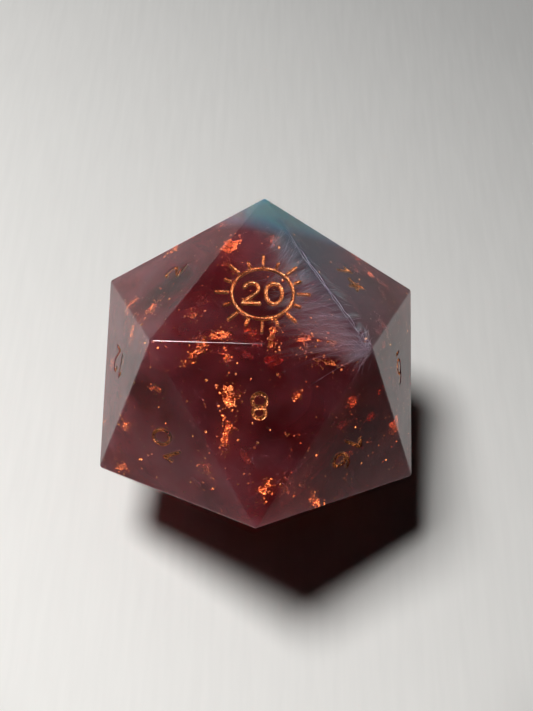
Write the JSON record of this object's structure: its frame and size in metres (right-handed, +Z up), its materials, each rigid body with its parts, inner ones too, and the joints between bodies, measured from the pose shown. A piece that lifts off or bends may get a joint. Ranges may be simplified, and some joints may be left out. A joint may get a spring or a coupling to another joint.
{
  "type": "polyhedral_die",
  "caption": "Large twenty-sided die in translucent burgundy resin with a teal corner, a lilac ink cloud, copper foil flakes and copper inked numerals",
  "frame": {"origin": "centre of the face 1 that the die stands on", "axes": "+Z up out of the face 20, +Y away from the face 8, +X to the right seen from the face 8"},
  "size_m": [0.0354, 0.0408, 0.033],
  "materials": {
    "burgundy_resin": "polished",
    "teal_resin": "polished",
    "lilac_ink": "satin",
    "copper_ink": "satin",
    "copper_foil": "gloss"
  },
  "bodies": {
    "root": {"burgundy_resin": "burgundy_resin", "copper_flake_01": "copper_foil", "copper_flake_02": "copper_foil", "copper_flake_03": "copper_foil", "copper_flake_04": "copper_foil", "copper_flake_05": "copper_foil", "copper_flake_06": "copper_foil", "copper_flake_07": "copper_foil", "copper_flake_08": "copper_foil", "copper_flake_09": "copper_foil", "copper_flake_10": "copper_foil", "copper_flake_11": "copper_foil", "copper_flake_12": "copper_foil", "copper_flake_13": "copper_foil", "copper_flake_14": "copper_foil", "copper_flake_15": "copper_foil", "copper_flake_16": "copper_foil", "copper_flake_17": "copper_foil", "copper_flake_18": "copper_foil", "copper_flake_19": "copper_foil", "copper_flake_20": "copper_foil", "copper_flake_21": "copper_foil", "copper_flake_22": "copper_foil", "copper_flake_23": "copper_foil", "copper_flake_24": "copper_foil", "copper_flake_25": "copper_foil", "copper_flake_26": "copper_foil", "copper_flake_27": "copper_foil", "copper_flake_28": "copper_foil", "copper_flake_29": "copper_foil", "copper_flake_30": "copper_foil", "copper_flakes_back": "copper_foil", "ink_numeral_01": "copper_ink", "ink_numeral_02": "copper_ink", "ink_numeral_03": "copper_ink", "ink_numeral_04": "copper_ink", "ink_numeral_05": "copper_ink", "ink_numeral_06": "copper_ink", "ink_numeral_07": "copper_ink", "ink_numeral_08": "copper_ink", "ink_numeral_09": "copper_ink", "ink_numeral_10": "copper_ink", "ink_numeral_11": "copper_ink", "ink_numeral_12": "copper_ink", "ink_numeral_13": "copper_ink", "ink_numeral_14": "copper_ink", "ink_numeral_15": "copper_ink", "ink_numeral_16": "copper_ink", "ink_numeral_17": "copper_ink", "ink_numeral_18": "copper_ink", "ink_numeral_19": "copper_ink", "ink_numeral_20": "copper_ink", "lilac_ink_cloud": "lilac_ink", "teal_resin": "teal_resin"}
  },
  "joints": []
}
